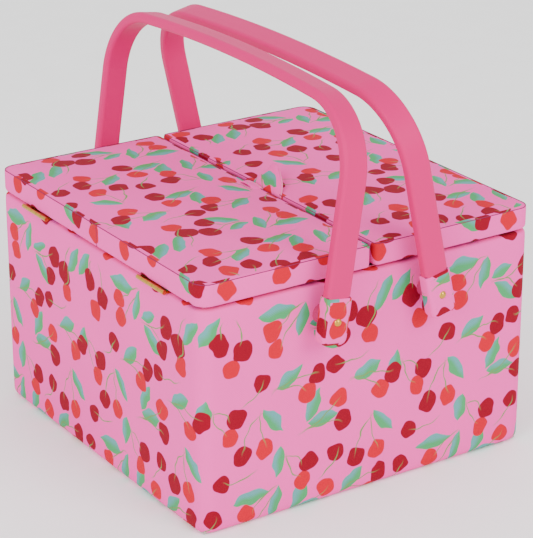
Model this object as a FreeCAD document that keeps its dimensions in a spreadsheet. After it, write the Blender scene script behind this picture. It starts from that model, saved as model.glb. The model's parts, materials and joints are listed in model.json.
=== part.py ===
"""Fabric-covered sewing box with two hinged lids, two bail handles and two lift-out trays.

The box stands on Z = 0 with its middle at the origin.  +X crosses both lids, from the left one to the
right one, +Y goes to the back and +Z up.  Every size is a cell of the sheet named Sizes, in millimetres
or degrees, and every sub-part is bound to those cells.
"""

import FreeCAD, Part
import os
import re
from math import asin, cos, degrees, radians, sin

import Sketcher
from FreeCAD import Placement, Rotation, Vector

SIZES = {
    # how far a cutting block runs past what it cuts, and how far two joined blocks run into each other
    "cut_past": 1,
    "knit": 0.1,
    # the whole box
    "half_width": 130,
    "half_depth": 132,
    "box_height": 155,
    "corner_round": 10,
    "bottom_round": 4,
    # layers of the wall, from outside to inside
    "cover_thick": 0.8,
    "wadding_thick": 3,
    "board_thick": 3,
    "lining_thick": 0.6,
    "hem_wide": 15,
    "floor_pad_thick": 1.4,
    # lids
    "lid_low": 156.5,
    "lid_top": 172,
    "lid_gap": 3,
    "lid_edge_round": 5,
    "split_corner_round": 4,
    # pull tabs
    "tab_thick": 1.4,
    "tab_long": 40,
    "left_tab_centre": 5,
    "right_tab_centre": -7,
    "tab_root": 160,
    "left_tab_rise": 10.2,
    "right_tab_rise": 9.4,
    "left_tab_bend": 3,
    "right_tab_bend": 6,
    "left_tab_reach": 5,
    "right_tab_reach": 13,
    "left_tab_slope": 80,
    "right_tab_slope": 60,
    # hinges
    "hinge_long": 33,
    "hinge_apart": 154,
    "pin_out": 1.8,
    "pin_height": 155.75,
    "pin_radius": 0.7,
    "pin_play": 0.05,
    "knuckle_radius": 1.5,
    "knuckle_gap": 0.2,
    "leaf_thick": 0.6,
    "leaf_play": 0.2,
    "leaf_in": 7,
    "screw_in": 5.3,
    "screw_apart": 21,
    "screw_radius": 0.9,
    "screw_head_radius": 1.5,
    "box_screw_long": 9,
    "lid_screw_long": 3.6,
    # handles
    "pivot_out": 41,
    "pivot_height": 135,
    "left_lean": 8.5,
    "right_lean": 12.4,
    "bar_wide": 18,
    "bar_thick": 7.5,
    "bar_round": 2.5,
    "bar_middle": 146.25,
    "bar_foot": 12,
    "bar_top": 139.25,
    "bail_round": 46.25,
    "crown_round": 1396.25,
    # covered sockets on the handle ends
    "socket_wide": 20.5,
    "socket_thick": 10,
    "socket_above": 15.5,
    "socket_below": 17,
    "socket_round": 7,
    "socket_edge": 1.2,
    # rivets
    "rivet_radius": 2,
    "rivet_play": 0.05,
    "rivet_head_radius": 2.9,
    "rivet_head_high": 1.8,
    "head_play": 0.15,
    "spacer_radius": 6.5,
    "spacer_play": 0.25,
    "washer_radius": 5,
    "washer_thick": 0.8,
    "tail_radius": 3,
    "tail_high": 1,
    # tray rests and trays
    "rest_thick": 6,
    "rest_top": 96,
    "tray_high": 34,
    "tray_wall": 1.6,
    "tray_apart": 1.5,
    "tray_side_gap": 1,
    "tray_end_gap": 3.1,
    "tray_corner": 8,
    "tray_foot_round": 3,
    "cell_corner": 4,
    # pocket and pincushion under the lids
    "pocket_long": 190,
    "pocket_wide": 92,
    "pocket_deep": 4.5,
    "pocket_cloth": 0.9,
    "pocket_corner": 12,
    "elastic_wide": 6,
    "elastic_thick": 1.2,
    "cushion_long": 96,
    "cushion_wide": 62,
    "cushion_deep": 12,
    "cushion_corner": 14,
    "cushion_edge": 8,
}

doc = FreeCAD.newDocument("SewingBox")
sheet = doc.addObject("Spreadsheet::Sheet", "Sizes")
for row, (alias, number) in enumerate(SIZES.items(), 1):
    sheet.set(f"A{row}", alias)
    sheet.set(f"B{row}", str(number))
    sheet.setAlias(f"B{row}", alias)
doc.recompute()

# sizes that follow from the sheet, as formulas
BOARD_X = "half_width - cover_thick - wadding_thick"
BOARD_Y = "half_depth - cover_thick - wadding_thick"
LINING_X = f"{BOARD_X} - board_thick"
LINING_Y = f"{BOARD_Y} - board_thick"
ROOM_X = f"{LINING_X} - lining_thick"
ROOM_Y = f"{LINING_Y} - lining_thick"
FLOOR_TOP = "cover_thick + board_thick + floor_pad_thick"
LID_BOARD_LOW = "lid_low + cover_thick"
SOCKET_BACK = "bar_middle - socket_thick / 2"
SOCKET_FRONT = "bar_middle + socket_thick / 2"

SIDES = {"left": -1, "right": 1}
ENDS = {"front": -1, "back": 1}
NODES = []
NEAR = 0.01


def formula(text):
    """A formula in alias names, written so that any object of the document can use it."""

    def full(match):
        return f"Sizes.{match.group()}" if match.group() in SIZES else match.group()

    return re.sub(r"[a-z]\w+", full, text)


def bind(thing, **expressions):
    """Binds properties to formulas.  Two underscores in a keyword stand for a dot."""
    for name, text in expressions.items():
        thing.setExpression(name.replace("__", "."), formula(text))


def size(text):
    """The number that a formula has now."""
    return float(sheet.evalExpression(formula(text)))


def keep(thing, label):
    """Makes an object a sub-part: label names its file."""
    thing.Label = label
    NODES.append(thing)
    return thing


def mirrored(low, high, side):
    """A span given outwards from the middle plane, for the side -1 or 1."""
    return (low, high) if side > 0 else (f"-({high})", f"-({low})")


# ---------------------------------------------------------------- plain solids


def cuboid(name, x, y, z):
    """A box between the low and high formulas of each axis."""
    block = doc.addObject("Part::Box", name)
    for length, axis, (low, high) in zip(("Length", "Width", "Height"), "xyz", (x, y, z)):
        bind(block, **{length: f"({high}) - ({low})", f"Placement__Base__{axis}": low})
    return block


def rod(name, radius, at, long, axis="z"):
    """A cylinder that starts at the point at and runs along +Y or +Z."""
    turns = {"y": Rotation(Vector(1, 0, 0), -90), "z": Rotation()}
    cylinder = doc.addObject("Part::Cylinder", name)
    cylinder.Placement = Placement(Vector(), turns[axis])
    bind(cylinder, Radius=radius, Height=long)
    bind(cylinder, Placement__Base__x=at[0], Placement__Base__y=at[1], Placement__Base__z=at[2])
    return cylinder


def together(name, pieces):
    """Several solids fused into one."""
    fuse = doc.addObject("Part::MultiFuse", name)
    fuse.Shapes = pieces
    return fuse


def group(name, pieces):
    """Separate solids kept as one object."""
    compound = doc.addObject("Part::Compound", name)
    compound.Links = pieces
    return compound


def cut(name, base, tools):
    """base with every tool taken away."""
    result = doc.addObject("Part::Cut", name)
    result.Base = base
    result.Tool = tools[0] if len(tools) == 1 else group(f"{name}_tools", tools)
    return result


def common(name, base, tool):
    """What two solids share."""
    result = doc.addObject("Part::Common", name)
    result.Base, result.Tool = base, tool
    return result


# ---------------------------------------------------------------- sketched solids


def plane_of(body, role):
    return next(f for f in body.Origin.OriginFeatures if f.Role == role)


def new_sketch(body, name, role="XY_Plane"):
    """A sketch attached to one of the body's own origin planes."""
    sketch = body.newObject("Sketcher::SketchObject", name)
    sketch.AttachmentSupport = [(plane_of(body, role), "")]
    sketch.MapMode = "FlatFace"
    return sketch


def dimension(sketch, text, *what):
    """A dimension constraint bound to a formula."""
    index = sketch.addConstraint(Sketcher.Constraint(*what, size(text)))
    sketch.setExpression(f"Constraints[{index}]", formula(text))


def add_rectangle(sketch, x, y):
    """A rectangle of four lines between the low and high formulas of the sketch's two axes."""
    (x_low, x_high), (y_low, y_high) = x, y
    around = ((x_low, y_low), (x_high, y_low), (x_high, y_high), (x_low, y_high))
    corners = [(size(i), size(j)) for i, j in around]
    first = sketch.GeometryCount
    for k in range(4):
        start, end = corners[k], corners[(k + 1) % 4]
        sketch.addGeometry(Part.LineSegment(Vector(*start, 0), Vector(*end, 0)), False)
    for k in range(4):
        sketch.addConstraint(Sketcher.Constraint("Coincident", first + k, 2, first + (k + 1) % 4, 1))
        sketch.addConstraint(Sketcher.Constraint("Vertical" if k % 2 else "Horizontal", first + k))
    dimension(sketch, x_low, "DistanceX", -1, 1, first, 1)
    dimension(sketch, y_low, "DistanceY", -1, 1, first, 1)
    dimension(sketch, x_high, "DistanceX", -1, 1, first + 2, 1)
    dimension(sketch, y_high, "DistanceY", -1, 1, first + 2, 1)


def round_edges(body, name, radius, chosen):
    """Fillets the edges of the body's tip that the test chosen picks."""
    doc.recompute()
    base = body.Tip
    names = [f"Edge{i}" for i, edge in enumerate(base.Shape.Edges, 1) if chosen(edge)]
    fillet = body.newObject("PartDesign::Fillet", name)
    fillet.Base = (base, names)
    bind(fillet, Radius=radius)
    body.Tip = fillet


def is_line_along(edge, axis):
    straight = edge.Curve.TypeId == "Part::GeomLine"
    return straight and abs(edge.tangentAt(edge.FirstParameter).dot(axis)) > 1 - NEAR


def lies_at(edge, axis, place):
    """True if the whole edge is at the given height along an axis."""
    ends = [edge.valueAt(p) for p in (edge.FirstParameter, edge.LastParameter)]
    middle = edge.valueAt((edge.FirstParameter + edge.LastParameter) / 2)
    return all(abs(point.dot(axis) - place) < NEAR for point in ends + [middle])


ALONG_Y, ALONG_Z = Vector(0, 1, 0), Vector(0, 0, 1)


def slab(name, x, y, z):
    """A padded rectangle from z low to z high, as a body whose edges can then be rounded."""
    body = doc.addObject("PartDesign::Body", name)
    sketch = new_sketch(body, f"{name}_outline")
    add_rectangle(sketch, x, y)
    bind(sketch, AttachmentOffset__Base__z=z[0])
    pad = body.newObject("PartDesign::Pad", f"{name}_pad")
    pad.Profile = sketch
    bind(pad, Length=f"({z[1]}) - ({z[0]})")
    return body


def round_uprights(body, radius, sign=0):
    """Rounds the upright corners that are still sharp: all of them, or those on one side in X."""
    doc.recompute()
    across, along = [[getattr(corner, axis) for corner in body.Shape.Vertexes] for axis in "XY"]
    low_x, high_x = min(across), max(across)
    at_x = {-1: (low_x,), 0: (low_x, high_x), 1: (high_x,)}[sign]
    at_y = (min(along), max(along))

    def chosen(edge):
        middle = edge.CenterOfMass
        sharp_x = any(abs(middle.x - place) < NEAR for place in at_x)
        sharp_y = any(abs(middle.y - place) < NEAR for place in at_y)
        return sharp_x and sharp_y and is_line_along(edge, ALONG_Z)

    round_edges(body, f"{body.Name}_corners_{len(body.Group)}", radius, chosen)


def round_level(body, radius, height, name):
    """Rounds every edge that lies at one height."""
    round_edges(body, f"{body.Name}_{name}", radius, lambda edge: lies_at(edge, ALONG_Z, size(height)))


def rounded_slab(name, x, y, z, corner, foot=None, top=None):
    """A slab with round upright corners and, if asked, a round foot and a round top edge."""
    body = slab(name, x, y, z)
    round_uprights(body, corner)
    if foot:
        round_level(body, foot, z[0], "foot")
    if top:
        round_level(body, top, z[1], "top")
    return body


def centred(half):
    return (f"-({half})", half)


# ---------------------------------------------------------------- holes that several layers share


def rivet_holes(name):
    """One long hole at each pivot, through the front wall and the back wall."""
    rods = []
    for side, sign in SIDES.items():
        at = (f"{sign} * pivot_out", "-half_depth - cover_thick", "pivot_height")
        rods.append(rod(f"{name}_{side}", "rivet_radius", at, "2 * (half_depth + cover_thick)", "y"))
    return rods


def screw_places(side):
    """Where one side's hinge screws stand: X, and each Y with a name."""
    x = f"{SIDES[side]} * (half_width - screw_in)"
    places = {}
    for end, sign in ENDS.items():
        for inner, step in (("a", -1), ("b", 1)):
            places[f"{side}_{end}_{inner}"] = f"{sign} * hinge_apart / 2 + {step} * screw_apart / 2"
    return x, places


def screw_holes(name, side, low, long):
    x, places = screw_places(side)
    return [rod(f"{name}_{key}", "screw_radius", (x, y, low), long) for key, y in places.items()]


# ---------------------------------------------------------------- the box


def build_cover():
    """The printed cloth round the four walls, turned in over the rim and under the base."""
    whole = rounded_slab(
        "cover_outside",
        centred("half_width"),
        centred("half_depth"),
        ("0", "box_height"),
        "corner_round",
        "bottom_round",
    )
    inner_x, inner_y = "half_width - cover_thick", "half_depth - cover_thick"
    filling = rounded_slab(
        "cover_filling",
        centred(inner_x),
        centred(inner_y),
        ("cover_thick", "box_height - cover_thick"),
        "corner_round - cover_thick",
        "bottom_round - cover_thick",
    )
    hem_x, hem_y = centred("half_width - hem_wide"), centred("half_depth - hem_wide")
    under = cuboid("cover_under", hem_x, hem_y, ("-cut_past", "cover_thick + cut_past"))
    rim_z = ("box_height - cover_thick - cut_past", "box_height + cut_past")
    mouth = cuboid("cover_mouth", centred(LINING_X), centred(LINING_Y), rim_z)
    tools = [filling, under, mouth] + rivet_holes("cover_rivet_hole")
    for side in SIDES:
        low, long = "box_height - box_screw_long", "box_screw_long + cut_past"
        tools += screw_holes("cover_screw_hole", side, low, long)
    keep(cut("box_cover", whole, [together("cover_hollow", tools)]), "box_cover")
    return filling


def build_padding(filling):
    """The wadding between the cloth and the boards, on all four walls."""
    core = cuboid("padding_core", centred(BOARD_X), centred(BOARD_Y), ("0", "box_height"))
    hollow = together("padding_hollow", [core] + rivet_holes("padding_rivet_hole"))
    keep(cut("wall_padding", filling, [hollow]), "wall_padding")


def build_boards():
    """Base board and four wall boards, butted together."""
    low, high = "cover_thick", "box_height - cover_thick"
    floor_z = (low, "cover_thick + board_thick")
    keep(cuboid("base_board", centred(LINING_X), centred(LINING_Y), floor_z), "base_board")
    for end, sign in ENDS.items():
        plate = cuboid(f"{end}_plate", centred(BOARD_X), mirrored(LINING_Y, BOARD_Y, sign), (low, high))
        keep(cut(f"{end}_board", plate, rivet_holes(f"{end}_board_hole")), f"{end}_board")
    for side, sign in SIDES.items():
        plate = cuboid(f"{side}_plate", mirrored(LINING_X, BOARD_X, sign), centred(LINING_Y), (low, high))
        holes = screw_holes(f"{side}_board_hole", side, "box_height - box_screw_long", "box_screw_long")
        keep(cut(f"{side}_board", plate, holes), f"{side}_board")


def build_linings():
    """Cloth panel under the base, lining round the inside walls, padded floor panel."""
    under = "half_width - hem_wide", "half_depth - hem_wide"
    keep(cuboid("base_cloth", centred(under[0]), centred(under[1]), ("0", "cover_thick")), "base_cloth")
    low = "cover_thick + board_thick"
    outside = cuboid("lining_outside", centred(LINING_X), centred(LINING_Y), (low, "box_height"))
    inside_z = (f"{low} - cut_past", "box_height + cut_past")
    inside = cuboid("lining_inside", centred(ROOM_X), centred(ROOM_Y), inside_z)
    hollow = together("lining_hollow", [inside] + rivet_holes("lining_hole"))
    keep(cut("wall_lining", outside, [hollow]), "wall_lining")
    keep(cuboid("floor_lining", centred(ROOM_X), centred(ROOM_Y), (low, FLOOR_TOP)), "floor_lining")


def build_tray_rests():
    """Covered boards along the front and back walls, whose top edges carry the trays."""
    for end, sign in ENDS.items():
        span = mirrored(f"{ROOM_Y} - rest_thick", ROOM_Y, sign)
        keep(cuboid(f"{end}_tray_rest", centred(ROOM_X), span, (FLOOR_TOP, "rest_top")), f"{end}_tray_rest")


# ---------------------------------------------------------------- hinges

KNUCKLES = 5


def leaf(name, side, centre, low, numbers):
    """A flat leaf in the seam with its own knuckles round the pin; numbers says which knuckles."""
    sign = SIDES[side]
    pin_x = f"{sign} * (half_width + pin_out)"
    plate_end = "half_width + pin_out - knuckle_radius - leaf_play"
    plate_x = mirrored("half_width - leaf_in", plate_end, sign)
    neck_x = mirrored(f"{plate_end} - knit", "half_width + pin_out", sign)
    z = (low, f"{low} + leaf_thick")
    start, pitch = f"{centre} - hinge_long / 2", f"hinge_long / {KNUCKLES}"
    solids = [cuboid(f"{name}_plate", plate_x, (start, f"{start} + hinge_long"), z)]
    for number in numbers:
        y_low = f"{start} + {number} * {pitch} + knuckle_gap / 2"
        y_high = f"{start} + {number + 1} * {pitch} - knuckle_gap / 2"
        solids.append(cuboid(f"{name}_neck_{number}", neck_x, (y_low, y_high), z))
        at = (pin_x, y_low, "pin_height")
        solids.append(rod(f"{name}_knuckle_{number}", "knuckle_radius", at, f"{pitch} - knuckle_gap", "y"))
    bore_at, bore_long = (pin_x, f"{start} - cut_past", "pin_height"), "hinge_long + 2 * cut_past"
    bore = rod(f"{name}_bore", "pin_radius + pin_play", bore_at, bore_long, "y")
    return together(f"{name}_solid", solids), bore


def screw_cone(name, x, y, low, sign):
    """The countersunk head of a screw: wide below and narrow above for sign 1, the other way for -1."""
    cone = doc.addObject("Part::Cone", name)
    bottom, top = ("screw_head_radius", "screw_radius")[::sign]
    bind(cone, Radius1=bottom, Radius2=top, Height="leaf_thick")
    bind(cone, Placement__Base__x=x, Placement__Base__y=y, Placement__Base__z=low)
    return cone


def screw(name, x, y, leaf_low, sign):
    """A screw that points down into the box for sign -1, or up into the lid for sign 1."""
    head = screw_cone(f"{name}_head", x, y, leaf_low, sign)
    long = "lid_screw_long" if sign > 0 else "box_screw_long"
    start = f"{leaf_low} + leaf_thick" if sign > 0 else f"{leaf_low} - {long}"
    return together(name, [head, rod(f"{name}_shank", "screw_radius", (x, y, start), long)])


def build_hinges():
    """Two hinges a side: a leaf on the rim, a leaf under the lid, the pin between, and the screws."""
    box_low, lid_low = "box_height", "lid_low - leaf_thick"
    box_screws = []
    for side, side_sign in SIDES.items():
        x, places = screw_places(side)
        for end, end_sign in ENDS.items():
            name = f"{side}_{end}_hinge"
            centre = f"{end_sign} * hinge_apart / 2"
            mine = {key: y for key, y in places.items() if key.startswith(f"{side}_{end}")}
            for part, low, numbers, sign in (("box", box_low, (0, 2, 4), -1), ("lid", lid_low, (1, 3), 1)):
                solid, bore = leaf(f"{name}_{part}", side, centre, low, numbers)
                label = f"{name}_{part}_leaf"
                sinks = [screw_cone(f"{label}_{key}", x, y, low, sign) for key, y in mine.items()]
                keep(cut(label, solid, [bore] + sinks), label)
            at = (f"{side_sign} * (half_width + pin_out)", f"{centre} - hinge_long / 2", "pin_height")
            keep(rod(f"{name}_pin", "pin_radius", at, "hinge_long", "y"), f"{name}_pin")
        box_screws += [screw(f"box_screw_{key}", x, y, box_low, -1) for key, y in places.items()]
        lid_screws = [screw(f"lid_screw_{key}", x, y, lid_low, 1) for key, y in places.items()]
        keep(group(f"{side}_lid_hinge_screws", lid_screws), f"{side}_lid_hinge_screws")
    keep(group("box_hinge_screws", box_screws), "box_hinge_screws")


# ---------------------------------------------------------------- lids


def lid_block(name, side, inset, low, high):
    """One lid's outline, drawn in by inset, with round corners and a round top edge."""
    sign = SIDES[side]
    x = mirrored(f"lid_gap / 2 + {inset}", f"half_width - {inset}", sign)
    body = slab(name, x, centred(f"half_depth - {inset}"), (low, high))
    round_uprights(body, f"corner_round - {inset}", sign)
    round_uprights(body, f"split_corner_round - {inset}", -sign)
    round_level(body, f"lid_edge_round - {inset}", high, "top")
    return body


def build_lid(side):
    """Board, thick padding, printed cover turned under, and plain lining below."""
    sign = SIDES[side]
    whole = lid_block(f"{side}_lid_outside", side, "0", "lid_low", "lid_top")
    filling = lid_block(f"{side}_lid_filling", side, "cover_thick", LID_BOARD_LOW, "lid_top - cover_thick")
    under_x = mirrored("lid_gap / 2 + hem_wide", "half_width - hem_wide", sign)
    under_y = centred("half_depth - hem_wide")
    under_z = ("lid_low - cut_past", f"{LID_BOARD_LOW} + cut_past")
    under = cuboid(f"{side}_lid_under", under_x, under_y, under_z)
    holes = screw_holes(f"{side}_lid_cover_hole", side, "lid_low", "lid_screw_long")
    hollow = together(f"{side}_lid_hollow", [filling, under] + holes)
    keep(cut(f"{side}_lid_cover", whole, [hollow]), f"{side}_lid_cover")
    layer_z = (LID_BOARD_LOW, f"{LID_BOARD_LOW} + board_thick")
    layer_x = mirrored("0", "half_width", sign)
    layer = cuboid(f"{side}_lid_layer", layer_x, centred("half_depth"), layer_z)
    plate = common(f"{side}_lid_plate", filling, layer)
    holes = screw_holes(f"{side}_lid_board_hole", side, "lid_low", "lid_screw_long")
    keep(cut(f"{side}_lid_board", plate, holes), f"{side}_lid_board")
    keep(cut(f"{side}_lid_padding", filling, [layer]), f"{side}_lid_padding")
    keep(cuboid(f"{side}_lid_lining", under_x, under_y, ("lid_low", LID_BOARD_LOW)), f"{side}_lid_lining")


def add_line(sketch, start, end):
    return sketch.addGeometry(Part.LineSegment(start, end), False)


def add_arc(sketch, centre, radius, first, last):
    """An arc that runs anticlockwise between two angles in degrees."""
    circle = Part.Circle(centre, Vector(0, 0, 1), radius)
    return sketch.addGeometry(Part.ArcOfCircle(circle, radians(first), radians(last)), False)


def join(sketch, one, one_end, other, other_end):
    """Two curves that meet with the same direction.  An end is 1 for a start and 2 for an end."""
    sketch.addConstraint(Sketcher.Constraint("Tangent", one, one_end, other, other_end))


def sweep(body, profile, path):
    """The profile carried along the path."""
    pipe = body.newObject("PartDesign::AdditivePipe", f"{body.Name}_pipe")
    pipe.Profile = profile
    pipe.Spine = (path, [])
    return pipe


def build_tab(side):
    """A folded strip of cloth that comes up out of the split and leans outwards over its own lid."""
    sign = SIDES[side]
    rise, bend, slope = (size(f"{side}_tab_{word}") for word in ("rise", "bend", "slope"))
    body = doc.addObject("PartDesign::Body", f"{side}_tab_strip")
    path = new_sketch(body, f"{side}_tab_path", "XZ_Plane")
    top, centre = Vector(0, rise, 0), Vector(sign * bend, rise, 0)
    flap = Vector(sign * sin(radians(slope)), cos(radians(slope)), 0)
    start = centre + Rotation(Vector(0, 0, 1), -sign * slope).multVec(top - centre)
    upright = add_line(path, Vector(), top)
    angles = (180 - slope, 180) if sign > 0 else (0, slope)
    curl = add_arc(path, centre, bend, *angles)
    lean = add_line(path, start, start + flap * size(f"{side}_tab_reach"))
    path.addConstraint(Sketcher.Constraint("Coincident", upright, 1, -1, 1))
    path.addConstraint(Sketcher.Constraint("Vertical", upright))
    near, far = (2, 1) if sign > 0 else (1, 2)
    join(path, upright, 2, curl, near)
    join(path, curl, far, lean, 1)
    dimension(path, f"{side}_tab_rise", "DistanceY", upright, 1, upright, 2)
    dimension(path, f"{side}_tab_bend", "Radius", curl)
    dimension(path, f"{side}_tab_reach", "Distance", lean)
    dimension(path, f"{side}_tab_reach * cos({side}_tab_slope)", "DistanceY", lean, 1, lean, 2)
    profile = new_sketch(body, f"{side}_tab_section")
    add_rectangle(profile, centred("tab_thick / 2"), centred("tab_long / 2"))
    sweep(body, profile, path)
    bind(body, Placement__Base__x=f"{sign} * (lid_gap / 2 - tab_thick / 2)")
    bind(body, Placement__Base__y=f"{side}_tab_centre", Placement__Base__z="tab_root")
    keep(body, f"{side}_pull_tab")


# ---------------------------------------------------------------- handles


def rounded_section(body, name, x, y, radius):
    """A rectangle with round corners."""
    sketch = new_sketch(body, name)
    (x_low, x_high), (y_low, y_high) = [[size(text) for text in span] for span in (x, y)]
    r = size(radius)
    near_x, far_x, near_y, far_y = x_low + r, x_high - r, y_low + r, y_high - r
    centres = [(near_x, near_y), (far_x, near_y), (far_x, far_y), (near_x, far_y)]
    arcs = [add_arc(sketch, Vector(*c, 0), r, 180 + 90 * k, 270 + 90 * k) for k, c in enumerate(centres)]
    for k, bend in enumerate(arcs):
        sketch.addConstraint(Sketcher.Constraint("Radius", bend, r))
        sketch.setExpression(f"Constraints[{sketch.ConstraintCount - 1}]", formula(radius))
    sides = []
    for k in range(4):
        start = sketch.Geometry[arcs[k]].EndPoint
        end = sketch.Geometry[arcs[(k + 1) % 4]].StartPoint
        sides.append(add_line(sketch, start, end))
        join(sketch, arcs[k], 2, sides[k], 1)
        join(sketch, sides[k], 2, arcs[(k + 1) % 4], 1)
    for k, line in enumerate(sides):
        sketch.addConstraint(Sketcher.Constraint("Vertical" if k % 2 else "Horizontal", line))
    dimension(sketch, y[0], "DistanceY", -1, 1, sides[0], 1)
    dimension(sketch, x[1], "DistanceX", -1, 1, sides[1], 1)
    dimension(sketch, y[1], "DistanceY", -1, 1, sides[2], 1)
    dimension(sketch, x[0], "DistanceX", -1, 1, sides[3], 1)
    return sketch


def bail_path(body, name):
    """Leg, round corner, slightly crowned grip, round corner, leg: the bar's middle line."""
    path = new_sketch(body, name, "YZ_Plane")
    leg, foot, top = size("bar_middle"), size("bar_foot"), size("bar_top")
    corner, crown = size("bail_round"), size("crown_round")
    tilt = degrees(asin((leg - corner) / (crown - corner)))
    shoulder = top - crown + (crown - corner) * cos(radians(tilt))
    up = add_line(path, Vector(-leg, -foot, 0), Vector(-leg, shoulder, 0))
    near = add_arc(path, Vector(corner - leg, shoulder, 0), corner, 90 + tilt, 180)
    grip = add_arc(path, Vector(0, top - crown, 0), crown, 90 - tilt, 90 + tilt)
    far = add_arc(path, Vector(leg - corner, shoulder, 0), corner, 0, 90 - tilt)
    down = add_line(path, Vector(leg, shoulder, 0), Vector(leg, -foot, 0))
    join(path, up, 2, near, 2)
    join(path, near, 1, grip, 2)
    join(path, grip, 1, far, 2)
    join(path, far, 1, down, 1)
    for line in (up, down):
        path.addConstraint(Sketcher.Constraint("Vertical", line))
    for corner_arc in (near, far):
        dimension(path, "bail_round", "Radius", corner_arc)
    dimension(path, "crown_round", "Radius", grip)
    dimension(path, "-bar_middle", "DistanceX", -1, 1, up, 1)
    dimension(path, "bar_middle", "DistanceX", -1, 1, down, 2)
    dimension(path, "-bar_foot", "DistanceY", -1, 1, up, 1)
    dimension(path, "-bar_foot", "DistanceY", -1, 1, down, 2)
    dimension(path, "bar_top - crown_round", "DistanceY", -1, 1, grip, 3)
    return path


def stand_on_pivot(thing, side):
    """Puts a solid made round its pivot at the side's pivot, leaning in over the box."""
    sign = SIDES[side]
    thing.Placement = Placement(Vector(), Rotation(Vector(0, -sign, 0), size(f"{side}_lean")))
    bind(thing, Placement__Rotation__Angle=f"{side}_lean")
    bind(thing, Placement__Base__x=f"{sign} * pivot_out", Placement__Base__z="pivot_height")


def build_handle(side):
    """The moulded bail, and the cloth-covered socket on each of its feet."""
    body = doc.addObject("PartDesign::Body", f"{side}_bail")
    path = bail_path(body, f"{side}_bail_path")
    legs = ("-bar_middle - bar_thick / 2", "-bar_middle + bar_thick / 2")
    profile = rounded_section(body, f"{side}_bail_section", centred("bar_wide / 2"), legs, "bar_round")
    bind(profile, AttachmentOffset__Base__z="-bar_foot")
    sweep(body, profile, path)
    bore_at, bore_long = ("0", "-bar_middle - bar_thick", "0"), "2 * (bar_middle + bar_thick)"
    bore = rod(f"{side}_bail_bore", "rivet_radius + rivet_play", bore_at, bore_long, "y")
    bail = keep(cut(f"{side}_handle", body, [bore]), f"{side}_handle")
    stand_on_pivot(bail, side)
    for end, end_sign in ENDS.items():
        build_socket(side, end, end_sign)


def build_socket(side, end, end_sign):
    """A flat pocket with a round foot: the bar fills it, and the rivet goes through both."""
    name = f"{side}_{end}_socket"
    y = mirrored(SOCKET_BACK, SOCKET_FRONT, end_sign)
    block = slab(f"{name}_block", centred("socket_wide / 2"), y, ("-socket_below", "socket_above"))
    low, high = -size("socket_below"), size("socket_above")
    faces = [size(text) for text in y]

    def at_the_foot(edge):
        return is_line_along(edge, ALONG_Y) and lies_at(edge, ALONG_Z, low)

    def on_a_face(edge):
        at_mouth = lies_at(edge, ALONG_Z, high)
        return not at_mouth and any(lies_at(edge, ALONG_Y, face) for face in faces)

    round_edges(block, f"{name}_foot", "socket_round", at_the_foot)
    round_edges(block, f"{name}_rim", "socket_edge", on_a_face)
    bar_y = mirrored("bar_middle - bar_thick / 2", "bar_middle + bar_thick / 2", end_sign)
    slot_z = ("-bar_foot", "socket_above + cut_past")
    slot = cuboid(f"{name}_slot", centred("bar_wide / 2"), bar_y, slot_z)
    bore_start = mirrored(f"{SOCKET_BACK} - cut_past", f"{SOCKET_FRONT} + cut_past", end_sign)[0]
    bore_at, bore_long = ("0", bore_start, "0"), "socket_thick + 2 * cut_past"
    bore = rod(f"{name}_bore", "rivet_radius + rivet_play", bore_at, bore_long, "y")
    stand_on_pivot(keep(cut(name, block, [together(f"{name}_hollow", [slot, bore])]), name), side)


def build_rivets():
    """Domed rivets through socket, spacer and wall, each with a washer inside under its spread tail."""
    washers = []
    squares = "rivet_head_radius * rivet_head_radius + rivet_head_high * rivet_head_high"
    dome = f"({squares}) / (2 * rivet_head_high)"
    for side, side_sign in SIDES.items():
        for end, end_sign in ENDS.items():
            name = f"{side}_{end}"
            x = f"{side_sign} * pivot_out"

            def disc(label, radius, low, high):
                at = (x, mirrored(low, high, end_sign)[0], "pivot_height")
                return rod(f"{name}_{label}", radius, at, f"({high}) - ({low})", "y")

            seat = f"{SOCKET_FRONT} + head_play"
            inside = f"{ROOM_Y} - washer_thick"
            shank = disc("rivet_shank", "rivet_radius", f"{inside} - tail_high", seat)
            tail = disc("rivet_tail", "tail_radius", f"{inside} - tail_high", inside)
            head = doc.addObject("Part::Sphere", f"{name}_rivet_head")
            head.Placement = Placement(Vector(), Rotation(Vector(1, 0, 0), -90 * end_sign))
            bind(head, Radius=dome, Angle1=f"asin(1 - rivet_head_high / ({dome}))")
            bind(head, Placement__Base__x=x, Placement__Base__z="pivot_height")
            bind(head, Placement__Base__y=f"{end_sign} * ({seat} + rivet_head_high - {dome})")
            keep(together(f"{name}_rivet", [shank, tail, head]), f"{name}_rivet")
            ring = disc("spacer_disc", "spacer_radius", "half_depth", f"{SOCKET_BACK} - spacer_play")
            hole = disc("spacer_hole", "rivet_radius", "half_depth - cut_past", SOCKET_BACK)
            keep(cut(f"{name}_handle_spacer", ring, [hole]), f"{name}_handle_spacer")
            washer = disc("washer_disc", "washer_radius", inside, ROOM_Y)
            span = (f"{inside} - cut_past", f"{ROOM_Y} + cut_past")
            washer_hole = disc("washer_hole", "rivet_radius", *span)
            washers.append(cut(f"{name}_washer", washer, [washer_hole]))
    keep(group("rivet_washers", washers), "rivet_washers")


# ---------------------------------------------------------------- trays

TRAY_LONG = f"{ROOM_Y} - tray_end_gap"
TRAY_WIDE = f"{ROOM_X} - tray_side_gap - tray_apart / 2"

# each column of cells: its share of the tray's width and how many cells it holds
COLUMNS = {"left": ((0.4, 1), (0.6, 4)), "right": ((0.5, 3), (0.5, 3))}


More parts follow.
